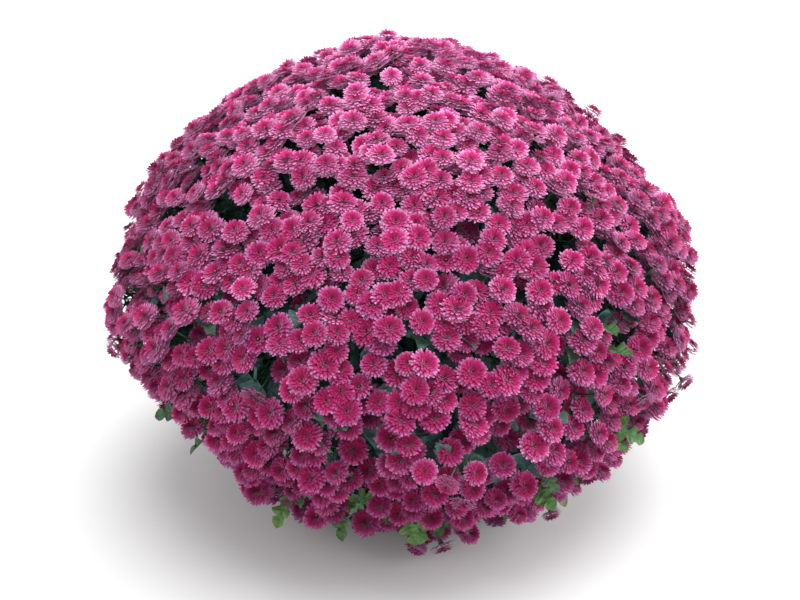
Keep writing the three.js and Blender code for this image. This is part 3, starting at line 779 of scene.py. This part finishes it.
# tubes: radii at the start and the end or at each point, sides, and tone on the leaves' colour scale, which
# paints light and shade
STEM_TUBE = ((0.0040, 0.0026), 8, 0.35)
STEM_POINTS = 22
BRANCH_TUBE = ((0.0021, 0.0014), 5, 0.4)
BRANCH_POINTS = 6
STALK_TUBE = ((0.0011, 0.0010, 0.0011), 3, 0.5)
STALK_BEND = 0.020
NECK_TUBE = ((0.0014, 0.24), 5, 0.55)  # its end as a share of the bloom's radius
NECK_REACH = (0.5, 0.14)  # under the bloom's base, in shares of its radius
BUD_STALK_TUBE = ((0.0009, 0.0008, 0.0016), 4, 0.6)
BUD_CUP_TUBE = ((0.001, 0.0028, 0.0030), 5, 0.7)


def add_bloom(growth, shape, base, axis, size, height=0.0):
    """Adds a bloom; those nearer the crown get paler tints as painted light, and painted shade darkens those
    lower down.
    """
    points, faces, marks = shape
    turn = turned_to(axis, rng.random() * 2 * math.pi)
    stretch = size * np.array([1, 1, rng.uniform(*BLOOM_STRETCHES)])
    placed = base + (points * stretch) @ turn.T
    placed[:, 2] = np.maximum(placed[:, 2], FLOOR_CLEARANCE)
    marks = marks.copy()
    # painted light: tints grow paler towards the crown
    paler = np.minimum(1, marks[:, 0] * (rng.uniform(*BLOOM_TINTS) + CROWN_PAINTED_LIGHT * max(0, height) ** 2))
    marks[:, 0] = np.where(marks[:, 0] < EYE, paler, EYE)
    # the tone varies at random, and painted shade lowers it towards the lower rim and raises it towards the
    # crown
    tone_and_painted_light = BLOOM_TONES[0] + BLOOM_TONES[1] * rng.random() + PAINTED_SHADE_RISE * height * abs(height)
    tones = np.full((len(points), 1), np.clip(tone_and_painted_light, 0, 1))
    growth.add(placed, faces, np.hstack([marks, tones]))


def add_leaf(growth, shapes, base, ahead, facing, length, tone_and_painted_light):
    points, faces, marks = shapes[rng.integers(len(shapes))]
    side = unit(np.cross(facing, ahead))
    turn = np.column_stack([ahead, side, np.cross(ahead, side)])
    placed = base + length * points @ turn.T
    if tone_and_painted_light < OUTSIDE_TONE:
        placed = under_blooms(placed)
    placed[:, 2] = np.maximum(placed[:, 2], GROUND_GAP)
    growth.add(placed, faces, np.hstack([marks, np.full((len(points), 1), tone_and_painted_light)]))


def add_tube(growth, path, radii, sides, tone_and_painted_light):
    """Adds a tube with a radius for each point of its path, or with those of its ends."""
    if len(radii) < len(path):
        radii = np.linspace(*radii, len(path))
    points, faces = tube(path, radii, sides)
    points[:, 2] = np.maximum(points[:, 2], FLOOR_CLEARANCE)
    marks = np.tile([*TUBE_PLACE, tone_and_painted_light], (len(points), 1))
    growth.add(points, faces, marks)


def stem_path(direction):
    azimuth = math.atan2(direction[1], direction[0])
    lowest = math.radians(BALL_LOWEST)
    share = (math.pi / 2 - math.asin(direction[2])) / (math.pi / 2 - lowest)
    distance = HOLE_NEAREST + (HOLE_FURTHEST - HOLE_NEAREST) * share
    mouth = np.array([distance * math.cos(azimuth), distance * math.sin(azimuth), SOIL_TOP])
    seat = skin_point(direction, SEAT_DEPTH)
    handle = seat - STEM_HANDLE * skin_normal(direction)
    bend = bezier(mouth, mouth + STEM_RISE * UP, handle, seat, STEM_POINTS)
    return np.vstack([mouth - HOLE_DEPTH * UP, bend])


def branch_nodes(members):
    """Spreads a spray's nodes over its blooms, and gives each bloom its nearest node."""
    count = max(LEAST_NODES, round(len(members) / BLOOMS_PER_NODE))
    chosen = [members[0]]
    nearest = members @ members[0]
    for _ in range(count - 1):
        furthest = members[np.argmin(nearest)]
        chosen.append(furthest)
        nearest = np.maximum(nearest, members @ furthest)
    chosen = np.array(chosen)
    for _ in range(NODE_ROUNDS):
        owner = np.argmax(members @ chosen.T, axis=1)
        chosen = unit(np.array([members[owner == k].sum(0) for k in range(count)]))
    return chosen, np.argmax(members @ chosen.T, axis=1)


def random_side(direction):
    across, upward = tangents(direction)
    angle = rng.random() * 2 * math.pi
    return math.cos(angle) * across + math.sin(angle) * upward


def shaken(vector, amount):
    return unit(vector + amount * rng.normal(size=3))


def leaf_facing(direction):
    return shaken(direction + rng.uniform(*FACING_LIFTS) * UP, FACING_SPREAD)


def unlowered(vector):
    """The way a leaf points, which is nowhere far below the level."""
    return unit(np.array([vector[0], vector[1], max(vector[2], LEAST_SLOPE)]))


def grow_stem(greens, index):
    direction = sprays[index]
    path = stem_path(direction)
    add_tube(greens, path, *STEM_TUBE)
    for share in np.linspace(*STEM_LEAF_PLACES, LEAVES_PER_STEM):
        at = path[int(share * (len(path) - 1))]
        ahead = unlowered(random_side(direction) + STEM_LEAF_OUTWARD * direction)
        length = LEAF_LENGTH * rng.uniform(*DEEP_LEAVES)
        add_leaf(greens, fine_leaves, at, ahead, leaf_facing(direction), length, DEEP_TONE * rng.random())
    return path


def grow_branch(greens, path, direction, node):
    """A leafy branch from the stem to a node."""
    spread = np.linalg.norm(node - direction)
    share = BRANCH_START - BRANCH_DROP * min(spread, BRANCH_MOST_SPREAD)
    start = path[int(share * (len(path) - 1))]
    joint = skin_point(node, NODE_DEPTH)
    bend = joint - BRANCH_HANDLES[1] * np.linalg.norm(joint - start) * node
    branch = bezier(start, start + BRANCH_HANDLES[0] * (bend - start), bend, joint, BRANCH_POINTS)
    add_tube(greens, branch, *BRANCH_TUBE)
    for _ in range(LEAVES_PER_NODE):
        at = branch[rng.integers(1, BRANCH_POINTS)]
        ahead = unlowered(random_side(node) + rng.uniform(*BRANCH_LEAF_OUTWARD) * node)
        length = LEAF_LENGTH * rng.uniform(*BRANCH_LEAVES)
        add_leaf(greens, plain_leaves, at, ahead, leaf_facing(node), length, DEEP_TONE * rng.random())
    return joint


def grow_peduncle(greens, joint, base, axis, size):
    """A bloom's stalk, the neck that widens under the bloom, and often a leaf."""
    neck = base - NECK_REACH[0] * size * axis
    lower = neck - STALK_BEND * axis
    lower[2] = max(lower[2], min(joint[2], neck[2]) - STALK_DIP)
    add_tube(greens, [joint, lower, neck], *STALK_TUBE)
    (narrow, wide), sides, tone_and_painted_light = NECK_TUBE
    add_tube(greens, [neck, base - NECK_REACH[1] * size * axis], (narrow, wide * size), sides, tone_and_painted_light)
    if rng.random() < NECK_LEAF_SHARE:
        ahead = unlowered(random_side(axis) + rng.uniform(*NECK_LEAF_OUTWARD) * axis)
        length = LEAF_LENGTH * rng.uniform(*NECK_LEAVES)
        add_leaf(greens, plain_leaves, lower, ahead, leaf_facing(axis), length, rng.uniform(*NECK_LEAF_TONES))


def grow_bud(flowers, greens, joint, node):
    place = shaken(node, BUD_SCATTER)
    base = skin_point(place, rng.uniform(*BUD_DEPTHS))
    axis = shaken(place + BUD_LIFT * UP, BUD_SPREAD)
    add_tube(greens, [joint, base - BUD_BEND * axis, base], *BUD_STALK_TUBE)
    add_tube(greens, [base - BUD_CUP[0] * axis, base, base + BUD_CUP[1] * axis], *BUD_CUP_TUBE)
    add_bloom(flowers, bud_shapes[rng.integers(len(bud_shapes))], base, axis, BUD_RADIUS)


def grow_rim_leaf(greens, bloom):
    """A leaf that shows on the lower rim, from under a low bloom."""
    base = skin_point(blooms[bloom], rng.uniform(*RIM_LEAF_DEPTHS))
    ahead = shaken(normals[bloom] + RIM_LEAF_LIFT * UP, RIM_LEAF_SPREAD)
    length = LEAF_LENGTH * rng.uniform(*RIM_LEAVES)
    facing = shaken(UP, RIM_LEAF_SPREAD)
    add_leaf(greens, fine_leaves, base, ahead, facing, length, rng.uniform(*RIM_LEAF_TONES))


def spot_places(index, spots, depths):
    """Places and bases of the leaves in those spots that lie in a spray."""
    for latitude, azimuth, count in spots:
        centre = direction_at(math.radians(latitude), math.radians(azimuth))
        if np.argmax(sprays @ centre) == index:
            for _ in range(count):
                place = shaken(centre, LEAFY_SCATTER * LEAFY_RADIUS)
                yield place, skin_point(place, rng.uniform(*depths))


def grow_leafy_spots(greens, index):
    """Tufts of leaves in the light, between low blooms."""
    for place, base in spot_places(index, LEAFY_SPOTS, SPOT_LEAF_DEPTHS):
        ahead = shaken(place + SPOT_LEAF_LIFT * UP, SPOT_LEAF_SPREAD)
        length = LEAF_LENGTH * rng.uniform(*RIM_LEAVES)
        add_leaf(greens, fine_leaves, base, ahead, leaf_facing(place), length, rng.uniform(*SPOT_LEAF_TONES))


def grow_screens(greens, index):
    """Leaves deep in the ball, where light would come through it."""
    for place, base in spot_places(index, SCREENED_SPOTS, SCREEN_LEAF_DEPTHS):
        length = LEAF_LENGTH * rng.uniform(*DEEP_LEAVES)
        add_leaf(greens, plain_leaves, base, random_side(place), place, length, DEEP_TONE * rng.random())


def grow_spray(index):
    direction = sprays[index]
    own = np.flatnonzero(bloom_spray == index)
    flowers, greens = Growth(), Growth()
    path = grow_stem(greens, index)
    nodes, owner = branch_nodes(blooms[own])
    for k, node in enumerate(nodes):
        joint = grow_branch(greens, path, direction, node)
        for bloom in own[owner == k]:
            base, axis, size = bloom_base[bloom], bloom_axis[bloom], bloom_size[bloom]
            grow_peduncle(greens, joint, base, axis, size)
            height = blooms[bloom][2]
            add_bloom(flowers, pick_shape(height), base, axis, size, height)
            if height < RIM_LEAF_HEIGHT and rng.random() < RIM_LEAF_SHARE:
                grow_rim_leaf(greens, bloom)
        for _ in range(rng.binomial(MOST_BUDS, BUD_COUNT / (MOST_BUDS * BLOOM_COUNT / BLOOMS_PER_NODE))):
            grow_bud(flowers, greens, joint, node)
    grow_leafy_spots(greens, index)
    grow_screens(greens, index)
    name = f"spray_{index + 1:02d}"
    heads = flowers.piece(f"{name}_flowers", BLOOM_MARKS, petals)
    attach(heads, "root")
    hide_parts(f"{name}_blooms")
    leaves = greens.piece(f"{name}_foliage", LEAF_MARKS, foliage)
    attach(leaves, "root")
    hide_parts(f"{name}_stem")

# -------- pot and soil

POT_SEGMENTS = 128
POT_ROUNDING = 0.0012
POT_LEDGE_DROP = 0.001
SHARP_ANGLE = math.radians(32)
RIB_COUNT = 64
RIB_HEIGHT = 0.00025
WALL_START = 0.02  # share of the wall under the ribs
WALL_ROWS = 14
DRAIN_SIDES = 24
SOIL_SEGMENTS = 96
SOIL_RINGS = 30
SOIL_RING_SHARES = (1, 0.02)
SOIL_RING_POWER = 0.9
SOIL_LUMP = 0.0011
SOIL_GRAIN = 0.0006
CRUMB_COUNT = 520
CRUMB_SIZES = (0.0010, 0.0034)
CRUMB_STRETCHES = (0.6, 1.3)
CRUMB_RISE = 0.2  # of a crumb's size
CRUMB_CORNERS = ((1, 0, 0), (-1, 0, 0), (0, 1, 0), (0, -1, 0), (0, 0, 1), (0, 0, -1))
CRUMB_FACES = ((0, 2, 4), (2, 1, 4), (1, 3, 4), (3, 0, 4), (2, 0, 5), (1, 2, 5), (3, 1, 5), (0, 3, 5))
PERLITE_SHARE = 0.16


def pot_profile():
    """Radius and height from the middle of the base, up the outside, over the rim and down inside."""
    edge = POT_ROUNDING
    step = POT_HEIGHT - POT_RIM_HEIGHT
    profile = [(0.0, 0.0), (GROOVE_INNER, 0.0), (GROOVE_INNER + GROOVE_SLOPE, GROOVE_DEPTH)]
    profile += [(GROOVE_OUTER - GROOVE_SLOPE, GROOVE_DEPTH), (GROOVE_OUTER, 0.0)]
    profile += [(POT_BASE_RADIUS - edge, 0.0), (POT_BASE_RADIUS, edge)]
    for share in np.linspace(WALL_START, 1, WALL_ROWS):
        profile.append((POT_BASE_RADIUS + (POT_TOP_RADIUS - POT_BASE_RADIUS) * share, step * share))
    profile += [(POT_RIM_RADIUS - edge, step), (POT_RIM_RADIUS, step + edge)]
    profile += [(POT_RIM_RADIUS, POT_HEIGHT - edge), (POT_RIM_RADIUS - edge, POT_HEIGHT)]
    inner = POT_RIM_RADIUS - POT_WALL
    profile += [(inner + edge, POT_HEIGHT), (inner, POT_HEIGHT - edge), (inner, step + POT_WALL)]
    profile += [(POT_TOP_RADIUS - POT_WALL, step + POT_WALL - POT_LEDGE_DROP)]
    profile += [(POT_BASE_RADIUS - POT_WALL, POT_FLOOR), (0.0, POT_FLOOR)]
    return np.array(profile)


def cut_drain_holes(pot):
    drills = []
    for angle in ring_angles(DRAIN_COUNT):
        place = (DRAIN_DISTANCE * math.cos(angle), DRAIN_DISTANCE * math.sin(angle), POT_FLOOR / 2)
        bpy.ops.mesh.primitive_cylinder_add(
            vertices=DRAIN_SIDES, radius=DRAIN_RADIUS, depth=4 * POT_FLOOR, location=place
        )
        drills.append(bpy.context.object)
        cut = pot.modifiers.new("drain", "BOOLEAN")
        cut.object = drills[-1]
        cut.operation = "DIFFERENCE"
        cut.solver = "EXACT"
    drilled = bpy.data.meshes.new_from_object(pot.evaluated_get(bpy.context.evaluated_depsgraph_get()))
    pot.modifiers.clear()
    pot.data = drilled
    for drill in drills:
        bpy.data.objects.remove(drill)


def make_pot():
    profile = pot_profile()
    rows = len(profile) - 2
    count = POT_SEGMENTS
    angles = ring_angles(count)
    radius, height = profile[1:-1].T
    walled = (height > 2 * POT_ROUNDING) & (height < POT_HEIGHT - POT_RIM_HEIGHT)
    walled &= radius > POT_BASE_RADIUS
    ribs = np.where(walled, RIB_HEIGHT, 0)[:, None] * np.cos(RIB_COUNT * angles)[None, :]
    reach = radius[:, None] + ribs
    rings = np.stack([reach * np.cos(angles), reach * np.sin(angles), height[:, None] + 0 * reach], -1)
    points = np.concatenate([rings.reshape(-1, 3), [[0, 0, profile[0, 1]], [0, 0, profile[-1, 1]]]])
    here = np.arange(count)
    after = (here + 1) % count
    faces = []
    for low in range(0, (rows - 1) * count, count):
        high = low + count
        faces += np.stack([low + here, low + after, high + after, high + here], 1).tolist()
    faces += ring_cap(count, 0, rows * count)[:, [1, 0, 2]].tolist()
    faces += ring_cap(count, (rows - 1) * count, rows * count + 1).tolist()
    mesh = bpy.data.meshes.new("nursery_pot")
    mesh.from_pydata(points.tolist(), [], faces)
    pot = new_object("nursery_pot", mesh)
    cut_drain_holes(pot)
    pot.data.materials.clear()
    pot.data.materials.append(plastic)
    pot.data.shade_smooth()
    pot.data.set_sharp_from_angle(angle=SHARP_ANGLE)
    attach(pot, "root")
    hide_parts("pot")


def soil_height(x, y):
    """Height of the potting mix: a low crown, hollows and lumps."""
    level = np.hypot(x, y) / POT_TOP_RADIUS
    lumps = SOIL_LUMP * np.sin(190 * x + 3 * np.sin(90 * y)) * np.sin(170 * y + 1.3)
    grains = SOIL_GRAIN * np.sin(610 * x + 530 * y) * np.sin(570 * x - 640 * y + 2)
    return SOIL_TOP + SOIL_CROWN * (1 - level**2) + (lumps + grains) * (1 - level**6)


def add_crumbs(growth, reach):
    """Adds crumbs of soil and grains of perlite that lie on the soil within a reach."""
    for _ in range(CRUMB_COUNT):
        size = rng.uniform(*CRUMB_SIZES)
        distance = (reach - 2 * size) * math.sqrt(rng.random())
        angle = rng.uniform(0, 2 * math.pi)
        x, y = distance * math.cos(angle), distance * math.sin(angle)
        stretch = rng.uniform(*CRUMB_STRETCHES, (len(CRUMB_CORNERS), 1))
        corners = np.array(CRUMB_CORNERS, float) * stretch * size
        corners = corners @ turned_to(unit(rng.normal(size=3)), 0).T
        pale = np.full((len(corners), 1), float(rng.random() < PERLITE_SHARE))
        growth.add(corners + [x, y, soil_height(x, y) + CRUMB_RISE * size], np.array(CRUMB_FACES), pale)


def make_soil():
    growth = Growth()
    count = SOIL_SEGMENTS
    angles = ring_angles(count)
    wall = POT_WALL + SOIL_GAP
    top_radius = POT_TOP_RADIUS - wall
    reach = top_radius * np.linspace(*SOIL_RING_SHARES, SOIL_RINGS) ** SOIL_RING_POWER
    x, y = reach[:, None] * np.cos(angles), reach[:, None] * np.sin(angles)
    top = np.stack([x, y, soil_height(x, y)], -1)
    low = np.stack([np.cos(angles), np.sin(angles), 0 * angles], 1) * (POT_BASE_RADIUS - wall)
    low[:, 2] = POT_FLOOR + SOIL_GAP
    points = np.concatenate([low[None], top]).reshape(-1, 3)
    points = np.concatenate([points, [[0, 0, soil_height(0, 0)], [0, 0, POT_FLOOR + SOIL_GAP]]])
    faces = [ring_band(count, k * count, (k + 1) * count) for k in range(len(reach))]
    faces.append(ring_cap(count, len(reach) * count, len(points) - 2))
    faces.append(ring_cap(count, 0, len(points) - 1)[:, [1, 0, 2]])
    growth.add(points, np.concatenate(faces), np.zeros((len(points), 1)))
    add_crumbs(growth, top_radius)
    soil = growth.piece("potting_mix", ("perlite",), earth)
    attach(soil, "root")
    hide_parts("soil")


for spray_index in range(SPRAY_COUNT):
    grow_spray(spray_index)
make_pot()
make_soil()

# -------- camera, light and floor

CAMERA_ELEVATION = math.radians(22)
CAMERA_DISTANCE = 3.4 * BALL_RADIUS
SENSOR_WIDTH = 36
PICTURE = (800, 600)
FOCAL_PIXELS = 949.5
MIDDLE_PIXEL = (402.0, 284.7)  # where the ball's middle lies in the picture
FLOOR_HALF = 30.0
# lights of a soft studio: name, strength, how wide they are and how they turn, in degrees
SUNS = (
    ("overhead", 2.5, 36.0, (10.0, 6.0, 0.0)),
    ("right_fill", 3.6, 60.0, (0.0, 74.0, 0.0)),
    ("left_fill", 0.7, 60.0, (0.0, -70.0, 0.0)),
)
WORLD_STRENGTH = 1.0
FLOOR_ALBEDO = 0.65


def make_camera():
    data = bpy.data.cameras.new("camera")
    data.sensor_width = SENSOR_WIDTH
    data.lens = SENSOR_WIDTH * (FOCAL_PIXELS / PICTURE[0])
    data.shift_x = (PICTURE[0] / 2 - MIDDLE_PIXEL[0]) / PICTURE[0]
    data.shift_y = (MIDDLE_PIXEL[1] - PICTURE[1] / 2) / PICTURE[0]
    camera = new_object("camera", data)
    camera.location = (
        0,
        -CAMERA_DISTANCE * math.cos(CAMERA_ELEVATION),
        BALL_MIDDLE + CAMERA_DISTANCE * math.sin(CAMERA_ELEVATION),
    )
    camera.rotation_euler = (math.pi / 2 - CAMERA_ELEVATION, 0, 0)
    bpy.context.scene.camera = camera


def make_sun(name, strength, width, turn):
    data = bpy.data.lights.new(name, "SUN")
    data.energy = strength
    data.angle = math.radians(width)
    new_object(name, data).rotation_euler = tuple(math.radians(v) for v in turn)


def make_studio():
    half = FLOOR_HALF
    corners = [(-half, -half, 0), (half, -half, 0), (half, half, 0), (-half, half, 0)]
    mesh = bpy.data.meshes.new("floor")
    mesh.from_pydata(corners, [], [(0, 1, 2, 3)])
    shader = Shader("floor", roughness=0.95)
    shader.bsdf.inputs["Base Color"].default_value = (FLOOR_ALBEDO, FLOOR_ALBEDO, FLOOR_ALBEDO, 1)
    shader.bsdf.inputs["Specular IOR Level"].default_value = 0.0
    mesh.materials.append(shader.material)
    new_object("floor", mesh)
    for sun in SUNS:
        make_sun(*sun)
    world = bpy.data.worlds.new("studio")
    world.use_nodes = True
    background = world.node_tree.nodes["Background"]
    background.inputs["Color"].default_value = (1, 1, 1, 1)
    background.inputs["Strength"].default_value = WORLD_STRENGTH
    bpy.context.scene.world = world
    bpy.context.scene.view_settings.view_transform = "Standard"


make_camera()
make_studio()
